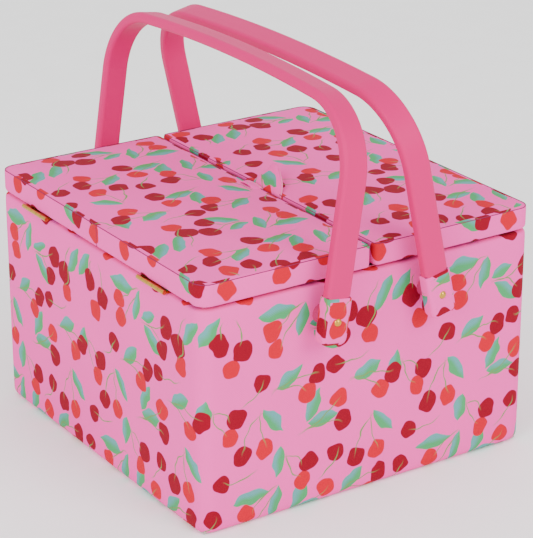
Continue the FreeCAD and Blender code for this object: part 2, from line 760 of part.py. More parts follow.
def build_tray(side):
    """A moulded tray with round cells, which stands on the two tray rests."""
    sign = SIDES[side]
    x = mirrored("tray_apart / 2", f"{ROOM_X} - tray_side_gap", sign)
    z = ("rest_top", "rest_top + tray_high")
    block = rounded_slab(f"{side}_tray_block", x, centred(TRAY_LONG), z, "tray_corner", "tray_foot_round")
    cells = []
    done = 0
    for column, (share, count) in enumerate(COLUMNS[side]):
        low = f"tray_apart / 2 + {done} * ({TRAY_WIDE} - tray_wall) + tray_wall"
        done += share
        high = f"tray_apart / 2 + {done} * ({TRAY_WIDE} - tray_wall)"
        pitch = f"(2 * ({TRAY_LONG}) - tray_wall) / {count}"
        for place in range(count):
            start = f"-({TRAY_LONG}) + tray_wall + {place} * {pitch}"
            cell = rounded_slab(
                f"{side}_cell_{column}_{place}",
                mirrored(low, high, sign),
                (start, f"{start} + {pitch} - tray_wall"),
                ("rest_top + tray_wall", "rest_top + tray_high + cut_past"),
                "cell_corner",
                "tray_foot_round",
            )
            cells.append(cell)
    keep(cut(f"{side}_tray", block, cells), f"{side}_tray")


# ---------------------------------------------------------------- what the lids carry inside


def build_pocket():
    """A flat cloth pocket under the left lid, open to the split, with an elastic band at its mouth."""
    middle = "-(half_width + lid_gap / 2) / 2"
    mouth = f"{middle} + pocket_wide / 2"
    low = "lid_low - pocket_deep"
    x, y = (f"{middle} - pocket_wide / 2", mouth), centred("pocket_long / 2")
    pouch = slab("pocket_pouch", x, y, (low, "lid_low"))
    round_uprights(pouch, "pocket_corner", -1)
    inner_x = (f"{x[0]} + pocket_cloth", f"{mouth} + cut_past")
    inner_y = centred("pocket_long / 2 - pocket_cloth")
    hollow = slab("pocket_hollow", inner_x, inner_y, (f"{low} + pocket_cloth", "lid_low + cut_past"))
    round_uprights(hollow, "pocket_corner - pocket_cloth", -1)
    keep(cut("lid_pocket", pouch, [hollow]), "lid_pocket")
    band_x = (f"{mouth} - elastic_wide", mouth)
    keep(cuboid("pocket_band", band_x, y, (f"{low} - elastic_thick", low)), "pocket_elastic")


def build_pincushion():
    """A stuffed cushion under the right lid."""
    middle = "(half_width + lid_gap / 2) / 2"
    x = (f"{middle} - cushion_wide / 2", f"{middle} + cushion_wide / 2")
    y, z = centred("cushion_long / 2"), ("lid_low - cushion_deep", "lid_low")
    keep(rounded_slab("cushion_block", x, y, z, "cushion_corner", "cushion_edge"), "pincushion")


# ---------------------------------------------------------------- making and writing the parts

build_padding(build_cover())
build_boards()
build_linings()
build_tray_rests()
build_hinges()
for lid_side in SIDES:
    build_lid(lid_side)
    build_tab(lid_side)
    build_handle(lid_side)
    build_tray(lid_side)
build_rivets()
build_pocket()
build_pincushion()
doc.recompute()

for thing in doc.Objects:
    if {"Invalid", "Error"} & set(thing.State):
        raise RuntimeError(f"{thing.Name} did not build: {thing.State}")
for node in NODES:
    if node.Shape.isNull() or not node.Shape.isValid():
        raise RuntimeError(f"{node.Label} has no valid shape")

os.makedirs("parts", exist_ok=True)
for node in NODES:
    node.Shape.exportStep(f"parts/{node.Label}.step")
print(f"{len(NODES)} sub-parts written")
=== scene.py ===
"""The looks of a cloth-covered sewing box: printed cotton over padded walls and lids, pink moulded handles.

Lengths are in millimetres where a name ends in _MM or a function says so, and in metres otherwise.
"""

import json
from math import atan2, cos, hypot, pi, radians, sin

import bpy
from mathutils import Matrix, Vector, noise


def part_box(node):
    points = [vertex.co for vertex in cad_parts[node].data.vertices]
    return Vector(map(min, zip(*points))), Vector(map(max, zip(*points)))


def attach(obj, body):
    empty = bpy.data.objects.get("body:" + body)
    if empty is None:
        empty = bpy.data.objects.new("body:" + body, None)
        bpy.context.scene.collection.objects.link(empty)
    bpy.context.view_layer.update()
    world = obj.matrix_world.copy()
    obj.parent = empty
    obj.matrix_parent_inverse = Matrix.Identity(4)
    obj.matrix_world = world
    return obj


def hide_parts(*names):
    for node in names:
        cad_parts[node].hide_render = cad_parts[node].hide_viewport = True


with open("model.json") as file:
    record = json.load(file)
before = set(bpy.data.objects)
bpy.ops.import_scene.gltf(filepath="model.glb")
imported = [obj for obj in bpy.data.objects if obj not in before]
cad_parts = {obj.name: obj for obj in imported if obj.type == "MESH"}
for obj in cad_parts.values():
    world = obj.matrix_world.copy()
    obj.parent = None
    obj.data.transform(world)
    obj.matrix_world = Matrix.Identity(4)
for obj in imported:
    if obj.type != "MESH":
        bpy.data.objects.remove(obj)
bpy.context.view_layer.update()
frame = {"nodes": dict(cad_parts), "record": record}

MM = 0.001
# which way along X each side lies
SIDES = {"left": -1, "right": 1}
ENDS = ("front", "back")
JOINTS = {joint["name"]: joint for joint in frame["record"]["behaviour"]["joints"]}


# ---------------------------------------------------------------- colours and nodes


def colour(hex_text):
    """An sRGB hex colour as the linear colour that a shader takes."""
    channels = [int(hex_text[k : k + 2], 16) / 255 for k in (0, 2, 4)]
    linear = [c / 12.92 if c <= 0.04045 else ((c + 0.055) / 1.055) ** 2.4 for c in channels]
    return (*linear, 1.0)


def add(tree, kind, links=None, **settings):
    """Adds one node.  links gives each input socket a number, a colour, a socket or a node's first output."""
    node = tree.nodes.new(kind)
    for name, value in settings.items():
        setattr(node, name, value)
    for socket, value in (links or {}).items():
        if isinstance(value, bpy.types.Node):
            value = value.outputs[0]
        if isinstance(value, bpy.types.NodeSocket):
            tree.links.new(value, node.inputs[socket])
        else:
            node.inputs[socket].default_value = value
    return node


def new_material(name, **surface):
    """A material with a Principled surface; surface gives the shader's own sockets."""
    material = bpy.data.materials.new(name)
    material.use_nodes = True
    tree = material.node_tree
    shader = tree.nodes["Principled BSDF"]
    for socket, value in surface.items():
        shader.inputs[socket.replace("_", " ")].default_value = value
    return material, tree, shader


# ---------------------------------------------------------------- the cherry print

PINK = colour("EE49A6")
CRIMSON = colour("84001E")
CORAL = colour("BE0226")
LEAF_GREEN = colour("3F935A")
LEAF_BLUE = colour("569291")
STEM_GREEN = colour("67854A")

# One repeat of the screen-printed cloth, and half a stem's thickness
REPEAT_MM = (146.0, 164.0)
STEM_HALF_MM = 0.45

# The screen's edge wanders by up to half of WANDER_MM, over about WANDER_LENGTH_MM
WANDER_MM = 4.2
WANDER_LENGTH_MM = 8

# A fruit's or leaf's measure where no shape is near: its edge is at 1
FAR = 9.0

# Sprigs in millimetres from the sprig's own middle.
# Fruit: colour, x, y, half width, half height, turn.  Leaf: x, y, half length, half width, turn.
# Stem: start x, y, end x, y, and how far its middle bows to the left of the way it runs.
SPRIGS = {
    "branch_pair": {
        "fruit": (("crimson", 13.0, 3.6, 6.3, 7.5, -24), ("coral", 4.9, -7.4, 6.6, 7.2, 12)),
        "leaf": ((-8.6, 6.4, 11.4, 5.2, 34),),
        "stem": ((-18.0, 0.4, 9.0, 5.5, 1.5), (-18.0, 0.4, 1.5, -3.5, 1.6)),
    },
    "hanging_pair": {
        "fruit": (("crimson", -12.0, -12.8, 7.1, 7.0, 8), ("coral", 4.6, -13.0, 6.5, 7.2, -28)),
        "leaf": ((10.6, 6.6, 12.4, 4.7, -52),),
        "stem": ((1.0, 12.5, -11.6, -8.0, -2.4), (1.0, 12.5, 4.4, -9.0, -1.0)),
    },
    "single_low_stem": {
        "fruit": (("crimson", 3.4, 4.0, 6.7, 6.3, 15),),
        "leaf": (),
        "stem": ((4.4, 3.4, -10.0, -8.6, 1.9),),
    },
    "single_side_stem": {
        "fruit": (("crimson", -8.5, 0.0, 6.3, 6.4, 0),),
        "leaf": (),
        "stem": ((-5.4, 0.0, 14.5, 1.6, -1.6),),
    },
    "stacked_pair": {
        "fruit": (("coral", -7.6, 0.5, 7.0, 6.4, 0), ("coral", -5.4, -12.4, 6.2, 6.8, 10)),
        "leaf": ((-4.6, 12.0, 14.4, 5.3, 2), (14.4, 3.0, 12.0, 4.3, 74)),
        "stem": ((14.4, 14.0, -1.5, 3.0, -1.4), (13.2, 9.0, 0.0, -10.0, -1.4)),
    },
    "low_pair": {
        "fruit": (("crimson", 10.5, 1.4, 7.1, 6.8, 25), ("coral", 5.6, -10.6, 6.1, 6.7, -12)),
        "leaf": ((-12.8, 7.8, 11.0, 5.4, 80),),
        "stem": ((-6.4, 9.6, 5.0, 3.0, 1.8), (-6.4, 9.6, 1.2, -6.5, -1.6)),
    },
    "two_leaves": {
        "fruit": (("coral", 10.0, 9.0, 6.9, 6.8, 0), ("crimson", 12.6, -7.4, 6.9, 7.4, 20)),
        "leaf": ((-10.4, 9.0, 12.0, 4.8, 62), (-3.4, -2.0, 11.6, 5.2, 4)),
        "stem": ((-17.4, -7.5, 8.0, 7.2, -2.0), (-17.4, -7.5, 7.4, -7.0, 1.6)),
    },
    "trio": {
        "fruit": (
            ("crimson", -8.5, 5.0, 6.7, 7.9, 25),
            ("crimson", 8.0, -2.4, 7.3, 7.9, -12),
            ("coral", -1.0, -13.0, 6.6, 7.0, 30),
        ),
        "leaf": ((-15.6, 14.0, 12.0, 5.0, 52),),
        "stem": ((4.5, 18.0, 7.4, 4.0, 1.4), (-6.0, 18.5, -7.6, 10.5, -0.8)),
    },
    "tall_pair": {
        "fruit": (("crimson", -5.5, -4.0, 8.0, 8.1, 15), ("coral", -2.2, -17.2, 6.4, 7.0, -10)),
        "leaf": ((7.6, 8.6, 12.5, 5.0, 60),),
        "stem": ((1.0, 2.0, -4.5, -12.0, 2.0), (2.4, 16.0, -5.0, 1.0, -1.8)),
    },
    "fan": {
        "fruit": (("crimson", 9.4, 6.6, 7.6, 8.0, 30), ("crimson", 4.4, -9.6, 6.6, 6.9, 0)),
        "leaf": ((-7.4, -8.0, 13.0, 4.9, -38), (-12.0, 7.0, 9.0, 4.0, 20)),
        "stem": ((-17.0, 1.2, 4.5, 6.0, -2.0), (-17.0, 1.2, 0.5, -5.0, 2.6)),
    },
}

# Where each sprig stands in the repeat: kind, x, y in millimetres, turn in degrees.
LAYOUT = (
    ("trio", 20, 138, 0),
    ("stacked_pair", 58, 143, 0),
    ("fan", 99, 137, 0),
    ("tall_pair", 128, 141, 0),
    ("single_low_stem", 39, 106, 0),
    ("branch_pair", 72, 102, 0),
    ("single_side_stem", 107, 109, 0),
    ("low_pair", 13, 88, 0),
    ("branch_pair", 131, 91, -12),
    ("hanging_pair", 40, 76, 0),
    ("two_leaves", 92, 76, 0),
    ("low_pair", 68, 44, 0),
    ("single_low_stem", 97, 42, 10),
    ("hanging_pair", 127, 52, 4),
    ("single_side_stem", 21, 47, 0),
    ("stacked_pair", 38, 20, 0),
    ("two_leaves", 82, 14, 0),
    ("branch_pair", 122, 17, 6),
    ("single_low_stem", 3, 19, 0),
)


def shape_axes(tree, place, centre, turn, half):
    """A place in a shape's own axes, where each half size is 1.  place holds x, y and 1 in millimetres."""
    x, y = centre
    axes = []
    for axis, size in zip(((cos(turn), sin(turn)), (-sin(turn), cos(turn))), half):
        row = (axis[0] / size, axis[1] / size, -(x * axis[0] + y * axis[1]) / size)
        dot = add(tree, "ShaderNodeVectorMath", {0: place, 1: row}, operation="DOT_PRODUCT")
        axes.append(dot.outputs["Value"])
    return axes


def fruit_shape(tree, place, centre, turn, half):
    """1 on the edge of a fruit and less inside."""
    across, up = shape_axes(tree, place, centre, turn, half)
    square = add(tree, "ShaderNodeMath", {0: across, 1: across}, operation="MULTIPLY")
    return add(tree, "ShaderNodeMath", {0: up, 1: up, 2: square}, operation="MULTIPLY_ADD")


def leaf_shape(tree, place, centre, turn, half):
    """1 on the edge of a pointed leaf and less inside, with how far a point is to one side of its rib."""
    along, rib = shape_axes(tree, place, centre, turn, half)
    beside = add(tree, "ShaderNodeMath", {0: rib}, operation="ABSOLUTE")
    return add(tree, "ShaderNodeMath", {0: along, 1: along, 2: beside}, operation="MULTIPLY_ADD"), rib


def stem_shape(tree, place, start, end, bow):
    """1 on the edge of a thin bowed line and less inside."""
    along = (end - start).normalized()
    middle = (start + end) / 2 + Vector((-along.y, along.x)) * bow
    half = ((end - start).length / 2, STEM_HALF_MM)
    run, beside = shape_axes(tree, place, middle, atan2(along.y, along.x), half)
    square = add(tree, "ShaderNodeMath", {0: run, 1: run}, operation="MULTIPLY")
    line = add(tree, "ShaderNodeMath", {0: square, 1: bow / STEM_HALF_MM, 2: beside}, operation="MULTIPLY_ADD")
    edges = [add(tree, "ShaderNodeMath", {0: value}, operation="ABSOLUTE") for value in (line, run)]
    return add(tree, "ShaderNodeMath", dict(enumerate(edges)), operation="MAXIMUM")


def print_colour(tree, cloth_mm):
    """The cloth's colour at a place on it: pink ground, leaves, fruit and stems.

    Each sprig's measures are joined to the running ones at once, because the shader holds only a few at a time.
    """
    # the screen's edge wanders a little, so no fruit is a true ellipse
    wander = add(
        tree, "ShaderNodeTexNoise", {"Vector": cloth_mm, "Scale": 1 / WANDER_LENGTH_MM, "Detail": 0.0}
    ).outputs["Color"]
    centred = add(tree, "ShaderNodeVectorMath", {0: wander, 1: (0.5, 0.5, 0.5)}, operation="SUBTRACT")
    shift = (WANDER_MM, WANDER_MM, 0)
    bent = add(tree, "ShaderNodeVectorMath", {0: centred, 1: shift, 2: cloth_mm}, operation="MULTIPLY_ADD")
    # each sprig sees the repeat wrapped about its own middle; the third part is then always 1
    half = (REPEAT_MM[0] / 2, REPEAT_MM[1] / 2, REPEAT_MM[0])
    minus_half = tuple(-size for size in half)
    measures = {word: FAR for word in ("leaf", "stem", "coral", "crimson")}
    side = 0.0
    for kind, x, y, turn in LAYOUT:
        sprig, turned = SPRIGS[kind], Matrix.Rotation(radians(turn), 2)
        moved = add(tree, "ShaderNodeVectorMath", {0: bent, 1: (x, y, -1)}, operation="SUBTRACT")
        place = add(tree, "ShaderNodeVectorMath", {0: moved, 1: half, 2: minus_half}, operation="WRAP")
        edges = []
        for ink, fruit_x, fruit_y, wide, high, tilt in sprig["fruit"]:
            centre = turned @ Vector((fruit_x, fruit_y))
            edges.append((ink, fruit_shape(tree, place, centre, radians(turn + tilt), (wide, high))))
        for leaf_x, leaf_y, long, wide, tilt in sprig["leaf"]:
            centre = turned @ Vector((leaf_x, leaf_y))
            edge, rib = leaf_shape(tree, place, centre, radians(turn + tilt), (long, wide))
            edges.append(("leaf", edge))
            on_leaf = add(tree, "ShaderNodeMath", {0: edge, 1: 1.2}, operation="LESS_THAN")
            side = add(tree, "ShaderNodeMath", {0: on_leaf, 1: rib, 2: side}, operation="MULTIPLY_ADD")
        for start_x, start_y, end_x, end_y, bow in sprig["stem"]:
            start, end = turned @ Vector((start_x, start_y)), turned @ Vector((end_x, end_y))
            edges.append(("stem", stem_shape(tree, place, start, end, bow)))
        for word, edge in edges:
            measures[word] = add(tree, "ShaderNodeMath", {0: edge, 1: measures[word]}, operation="MINIMUM")
    # a leaf turns from green to blue across its rib
    tone = add(tree, "ShaderNodeMapRange", {"Value": side, "From Min": -0.25, "From Max": 0.45})
    leaf = add(tree, "ShaderNodeMix", {0: tone, 6: LEAF_GREEN, 7: LEAF_BLUE}, data_type="RGBA")
    # the inks in printing order, and how soft each edge is as a share of the shape's own size
    inks = (
        ("leaf", leaf.outputs[2], 0.05),
        ("coral", CORAL, 0.06),
        ("crimson", CRIMSON, 0.06),
        ("stem", STEM_GREEN, 0.4),
    )
    shade = PINK
    for word, ink, soft in inks:
        edge = {"From Min": 1 - soft, "From Max": 1 + soft, "To Min": 1.0, "To Max": 0.0}
        mask = add(tree, "ShaderNodeMapRange", {"Value": measures[word], **edge})
        shade = add(tree, "ShaderNodeMix", {0: mask, 6: shade, 7: ink}, data_type="RGBA").outputs[2]
    return shade


def woven_bump(tree, cloth_mm, thread_mm, strength, height_mm):
    """A plain weave's bump: two sets of threads over and under each other, with slubs a few threads wide."""
    parts = add(tree, "ShaderNodeSeparateXYZ", {0: cloth_mm})
    waves = []
    for axis in ("X", "Y"):
        turn = add(tree, "ShaderNodeMath", {0: parts.outputs[axis], 1: pi / thread_mm}, operation="MULTIPLY")
        waves.append(add(tree, "ShaderNodeMath", {0: turn}, operation="SINE"))
    weave = add(tree, "ShaderNodeMath", {0: waves[0], 1: waves[1]}, operation="MULTIPLY")
    slub = add(tree, "ShaderNodeTexNoise", {"Vector": cloth_mm, "Scale": 1 / 9, "Detail": 3.0})
    height = add(tree, "ShaderNodeMath", {0: slub, 1: 2.5, 2: weave}, operation="MULTIPLY_ADD")
    bump = add(tree, "ShaderNodeBump", {"Height": height, "Strength": strength, "Distance": height_mm * MM})
    return bump.outputs["Normal"]


def make_printed_cotton():
    """Screen-printed plain-weave cotton: flat inks, a matt surface with a faint bloom of loose fibre."""
    material, tree, shader = new_material(
        "screen_printed_cotton", Roughness=0.9, Specular_IOR_Level=0.12, Sheen_Weight=0.02, Sheen_Roughness=0.5
    )
    uv = add(tree, "ShaderNodeUVMap", uv_map="cloth")
    cloth_mm = add(tree, "ShaderNodeVectorMath", {0: uv, "Scale": 1000.0}, operation="SCALE")
    shade = print_colour(tree, cloth_mm)
    # dye takes a little unevenly over a hand's width
    blotch = add(tree, "ShaderNodeTexNoise", {"Vector": cloth_mm, "Scale": 1 / 60, "Detail": 2.0})
    value = add(tree, "ShaderNodeMapRange", {"Value": blotch, "To Min": 0.95, "To Max": 1.05})
    uneven = add(tree, "ShaderNodeHueSaturation", {"Value": value, "Color": shade})
    tree.links.new(uneven.outputs[0], shader.inputs["Base Color"])
    # real threads are 0.3 mm apart; they are drawn at 0.8 mm so that the weave shows at all
    tree.links.new(woven_bump(tree, cloth_mm, 0.8, 0.25, 0.12), shader.inputs["Normal"])
    return material


def place_mm(tree):
    """Where a point is on the piece, in millimetres."""
    where = add(tree, "ShaderNodeTexCoord")
    return add(tree, "ShaderNodeVectorMath", {0: where.outputs["Object"], "Scale": 1000.0}, operation="SCALE")


def make_plain_cloth(name, hex_text, thread_mm, roughness, sheen):
    """Plain dyed cloth: one colour with slubs, and a weave that the light catches."""
    material, tree, shader = new_material(
        name, Roughness=roughness, Specular_IOR_Level=0.2, Sheen_Weight=sheen, Sheen_Roughness=0.4
    )
    at = place_mm(tree)
    slub = add(tree, "ShaderNodeTexNoise", {"Vector": at, "Scale": 1 / 4, "Detail": 4.0})
    value = add(tree, "ShaderNodeMapRange", {"Value": slub, "To Min": 0.9, "To Max": 1.08})
    shade = add(tree, "ShaderNodeHueSaturation", {"Value": value, "Color": colour(hex_text)})
    tree.links.new(shade.outputs[0], shader.inputs["Base Color"])
    tree.links.new(woven_bump(tree, at, thread_mm, 0.3, 0.15), shader.inputs["Normal"])
    return material


def make_moulded(name, hex_text, roughness, grain_mm, strength):
    """Injection-moulded plastic: even colour, satin skin, a faint orange peel from the tool."""
    material, tree, shader = new_material(name, IOR=1.49, Specular_IOR_Level=0.14)
    at = place_mm(tree)
    peel = add(tree, "ShaderNodeTexNoise", {"Vector": at, "Scale": 1 / grain_mm, "Detail": 2.0})
    flow = add(tree, "ShaderNodeTexNoise", {"Vector": at, "Scale": 1 / 70, "Detail": 2.0})
    value = add(tree, "ShaderNodeMapRange", {"Value": flow, "To Min": 0.95, "To Max": 1.05})
    shade = add(tree, "ShaderNodeHueSaturation", {"Value": value, "Color": colour(hex_text)})
    gloss = add(
        tree, "ShaderNodeMapRange", {"Value": peel, "To Min": roughness - 0.05, "To Max": roughness + 0.07}
    )
    bump = add(tree, "ShaderNodeBump", {"Height": peel, "Strength": strength, "Distance": 0.1 * MM})
    tree.links.new(shade.outputs[0], shader.inputs["Base Color"])
    tree.links.new(gloss.outputs[0], shader.inputs["Roughness"])
    tree.links.new(bump.outputs[0], shader.inputs["Normal"])
    return material


def make_brass():
    """Stamped and plated brass: bright, with fine tumbling marks and darker hollows."""
    material, tree, shader = new_material("plated_brass", Metallic=1.0)
    at = place_mm(tree)
    marks = add(tree, "ShaderNodeTexNoise", {"Vector": at, "Scale": 1 / 0.6, "Detail": 4.0})
    hollow, bright = colour("A0701E"), colour("D9AE48")
    shade = add(tree, "ShaderNodeMix", {0: marks, 6: hollow, 7: bright}, data_type="RGBA")
    gloss = add(tree, "ShaderNodeMapRange", {"Value": marks, "To Min": 0.18, "To Max": 0.42})
    bump = add(tree, "ShaderNodeBump", {"Height": marks, "Strength": 0.2, "Distance": 0.05 * MM})
    tree.links.new(shade.outputs[2], shader.inputs["Base Color"])
    tree.links.new(gloss.outputs[0], shader.inputs["Roughness"])
    tree.links.new(bump.outputs[0], shader.inputs["Normal"])
    return material


def make_greyboard():
    """Pressed grey board: recycled fibre, flecked and matt."""
    material, tree, shader = new_material("pressed_greyboard", Roughness=0.9)
    flecks = add(tree, "ShaderNodeTexNoise", {"Vector": place_mm(tree), "Scale": 1 / 1.5, "Detail": 5.0})
    dark, light = colour("8A8378"), colour("B3ACA0")
    shade = add(tree, "ShaderNodeMix", {0: flecks, 6: dark, 7: light}, data_type="RGBA")
    bump = add(tree, "ShaderNodeBump", {"Height": flecks, "Strength": 0.3, "Distance": 0.1 * MM})
    tree.links.new(shade.outputs[2], shader.inputs["Base Color"])
    tree.links.new(bump.outputs[0], shader.inputs["Normal"])
    return material


MATERIALS = {
    "printed_cotton": make_printed_cotton(),
    # a close, smooth weave that catches a soft light
    "lining_cloth": make_plain_cloth("cotton_sateen_lining", "DE7CA8", 0.9, 0.6, 0.1),
    # a firm, dull weave
    "base_cloth": make_plain_cloth("plain_weave_base_cloth", "D2608F", 1.0, 0.85, 0.1),
    "cushion_cloth": make_plain_cloth("red_cotton_pincushion", "A00524", 0.9, 0.85, 0.05),
    # the wrong side, where the dye shows through only faintly
    "cloth_back": make_plain_cloth("pale_back_of_printed_cotton", "E870A6", 0.5, 0.9, 0.05),
    # dark pink thread for the seams; the same dark line is also used as painted shade, in the fold at the lids'
    # sewn edges and in the gap where a handle bar enters its socket
    "seam_thread": make_plain_cloth("dark_pink_thread_and_painted_shade", "7A2149", 0.3, 0.9, 0.0),
    "elastic": make_plain_cloth("gathered_elastic_casing", "DA6E9E", 1.1, 0.7, 0.1),
    # loose carded fibre, so matt that it looks soft
    "wadding": make_plain_cloth("polyester_wadding", "F4F3F0", 3.0, 0.95, 0.4),
    # satin skin from a polished tool
    "handle_plastic": make_moulded("pink_moulded_polypropylene", "C80664", 0.45, 1.2, 0.12),
    # duller and a little rougher than the handles
    "spacer_plastic": make_moulded("pink_moulded_nylon", "B02A62", 0.6, 0.8, 0.2),
    # glossier, with hardly any texture
    "tray_plastic": make_moulded("white_moulded_polystyrene", "D9D3D5", 0.35, 1.5, 0.1),
    "greyboard": make_greyboard(),
    "brass": make_brass(),
}


def finish_cad_nodes():
    """Gives every CAD node the finish of its slot in the record."""
    for subpart in frame["record"]["subparts"]:
        mesh = frame["nodes"][subpart["node"]].data
        mesh.materials.clear()
        mesh.materials.append(MATERIALS[subpart["material_slot"]])


# ---------------------------------------------------------------- meshes for cloth

# how many steps of a ring lie on each half of a round corner
HALF_CORNER_STEPS = 3

# print coordinates of a face that shows no print
PLAIN = ((0.0, 0.0),) * 4

# stuffing: how hard it presses on the cloth, and how many steps the cloth takes to settle
PUFF_PRESSURE = 4.0
PUFF_STEPS = 20


def outline(low, high, corners, steps):
    """A closed ring round a rectangle with round corners, anticlockwise from the low corner.

    low and high are (x, y).  corners holds the radius at (low, low), (high, low), (high, high) and
    (low, high).  steps is how many steps the sides along x and along y take, so rings with the same
    steps join up, and a grid of those steps fills one.
    """
    wide, deep = high[0] - low[0], high[1] - low[1]
    starts = ((low[0], low[1]), (high[0], low[1]), (high[0], high[1]), (low[0], high[1]))
    ring = []
    for side in range(4):
        long, count = ((wide, steps[0]), (deep, steps[1]))[side % 2]
        first, last = corners[side], corners[(side + 1) % 4]
        along = Vector((cos(side * pi / 2), sin(side * pi / 2)))
        out = Vector((along.y, -along.x))
        for step in range(count):
            to_end = count - step
            if step < HALF_CORNER_STEPS:
                angle = pi / 4 + pi / 4 * step / HALF_CORNER_STEPS
                place, height = first - first * cos(angle), first * sin(angle) - first
            elif to_end < HALF_CORNER_STEPS:
                angle = pi / 4 + pi / 4 * to_end / HALF_CORNER_STEPS
                place, height = long - last + last * cos(angle), last * sin(angle) - last
            else:
                share = (step - HALF_CORNER_STEPS) / (count - 2 * HALF_CORNER_STEPS)
                place, height = first + (long - first - last) * share, 0.0
            ring.append(Vector(starts[side]) + along * place + out * height)
    return ring


class Cloth:
    """Collects the points, faces and print coordinates of one covered piece, then makes it."""

    def __init__(self, steps):
        self.steps = steps
        self.points, self.faces, self.prints = [], [], []

    def ring(self, flat, height):
        """Adds a ring of points at a height and returns the number of its first point."""
        self.points += [Vector((p.x, p.y, height)) for p in flat]
        return len(self.points) - len(flat)

    def band(self, lower, upper, low_v, high_v, round_u):
        """Joins two rings with faces.  The print's own join is at the corner opposite the first point."""
        count = len(round_u) - 1
        for k in range(count):
            after = (k + 1) % count
            self.faces.append((lower + k, lower + after, upper + after, upper + k))
            back = round_u[-1] - round_u[0] if k >= sum(self.steps) else 0.0
            low, high = round_u[k] - back, round_u[k + 1] - back
            self.prints.append(((low, low_v), (high, low_v), (high, high_v), (low, high_v)))

    def wrap(self, low, high, corners, profile, start=(0.0, 0.0)):
        """Lays cloth along a profile of (inset, height), all the way round a rectangle.

        start is where the print begins, round the rectangle and along the profile.
        Returns the numbers of the first points of the first and the last ring.
        """
        around = run_round(inset_outline(low, high, corners, self.steps, 0.0), start[0])
        length, rings = start[1], []
        for k, (inset, height) in enumerate(profile):
            rings.append(self.ring(inset_outline(low, high, corners, self.steps, inset), height))
            if k:
                step = hypot(inset - profile[k - 1][0], height - profile[k - 1][1])
                self.band(rings[-2], rings[-1], length, length + step, around)
                length += step
        return rings[0], rings[-1]

    def panel(self, ring, print_of, up=True, height_of=None):
        """Fills a ring with a grid of faces.  height_of gives the height at shares of the way across."""
        nx, ny = self.steps
        edge = {}
        for i in range(nx + 1):
            edge[i, 0] = ring + i
            edge[nx - i, ny] = ring + nx + ny + i
        for j in range(ny + 1):
            edge[nx, j] = ring + nx + j
            edge[0, ny - j] = ring + (2 * nx + ny + j) % (2 * (nx + ny))
        at = {key: self.points[index] for key, index in edge.items()}
        index = dict(edge)
        for i in range(1, nx):
            for j in range(1, ny):
                s, t = i / nx, j / ny
                point = at[0, j].lerp(at[nx, j], s) + at[i, 0].lerp(at[i, ny], t)
                point -= at[0, 0].lerp(at[nx, 0], s).lerp(at[0, ny].lerp(at[nx, ny], s), t)
                if height_of:
                    point.z += height_of(s, t)
                index[i, j] = len(self.points)
                self.points.append(point)
        for i in range(nx):
            for j in range(ny):
                around = [index[i, j], index[i + 1, j], index[i + 1, j + 1], index[i, j + 1]]
                if not up:
                    around.reverse()
                self.faces.append(tuple(around))
                self.prints.append(tuple(print_of(self.points[k]) for k in around))

    def make(self, name, material, turn=Matrix.Identity(4)):
        """The object, before any stuffing and smoothing."""
        mesh = bpy.data.meshes.new(name)
        mesh.from_pydata([turn @ point for point in self.points], [], self.faces)
        layer = mesh.uv_layers.new(name="cloth")
        for face, corners in zip(mesh.polygons, self.prints):
            for loop, corner in zip(face.loop_indices, corners):
                layer.data[loop].uv = corner
        mesh.materials.append(MATERIALS[material])
        mesh.shade_smooth()
        piece = bpy.data.objects.new(name, mesh)
        bpy.context.collection.objects.link(piece)
        return piece


def smooth(piece, times=1):
    """Rounds a piece by subdividing it."""
    levels = piece.modifiers.new("smooth", "SUBSURF")
    levels.levels = levels.render_levels = times


def puff(piece, first_free, most):
    """Swells a cover as its stuffing does.  Points before first_free stay, and none moves further than most."""
    held = piece.vertex_groups.new(name="sewn_down")
    held.add(list(range(first_free)), 1.0, "REPLACE")
    cloth = piece.modifiers.new("puff", "CLOTH")
    cloth.settings.use_pressure = True
    cloth.settings.uniform_pressure_force = PUFF_PRESSURE
    cloth.settings.vertex_group_mass = "sewn_down"
    cloth.settings.effector_weights.gravity = 0
    cloth.collision_settings.use_collision = False
    for number in range(1, PUFF_STEPS + 1):
        bpy.context.scene.frame_set(number)
    swollen = piece.evaluated_get(bpy.context.evaluated_depsgraph_get()).data
    moves = [after.co - before.co for after, before in zip(swollen.vertices, piece.data.vertices)]
    piece.modifiers.remove(cloth)
    for vertex, move in zip(piece.data.vertices, moves):
        vertex.co += move * min(1.0, most / max(move.length, 1e-9))
    bpy.context.scene.frame_set(1)


def thread(name, points, closed, radius, material="seam_thread"):
    """A sewn line, a rolled edge or a dark line of painted shade: a thin round run along points."""
    curve = bpy.data.curves.new(name, "CURVE")
    curve.dimensions = "3D"
    curve.bevel_depth = radius
    curve.bevel_resolution = 2
    spline = curve.splines.new("POLY")
    spline.points.add(len(points) - 1)
    for place, point in zip(spline.points, points):
        place.co = (*point, 1)
    spline.use_cyclic_u = closed
    curve.materials.append(MATERIALS[material])
    piece = bpy.data.objects.new(name, curve)
    bpy.context.collection.objects.link(piece)
    return piece


def run_round(ring, start=0.0):
    """How far round a ring each point is, in metres, with the full way round last."""
    lengths = [start]
    for k, point in enumerate(ring):
        lengths.append(lengths[-1] + (ring[(k + 1) % len(ring)] - point).length)
    return lengths


def inset_outline(low, high, corners, steps, inset):
    """The outline drawn in by inset, with round corners that never vanish."""
    smallest = 0.3 * MM
    tighter = [max(radius - inset, smallest) for radius in corners]
    drawn = (low[0] + inset, low[1] + inset), (high[0] - inset, high[1] - inset)
    return outline(drawn[0], drawn[1], tighter, steps)


# ---------------------------------------------------------------- the box's printed cover

# the upright corners' radius, the foot's and the rim's, the hems' depth, and how long a step of mesh is
CORNER = 10 * MM
FOOT = 6 * MM
RIM = 2 * MM
HEM = 15 * MM
STEP = 5 * MM
WALL_ROWS = 22


def steps_for(low, high):
    """How many mesh steps a rectangle takes along x and along y."""
    return (max(2, round((high[0] - low[0]) / STEP)), max(2, round((high[1] - low[1]) / STEP)))


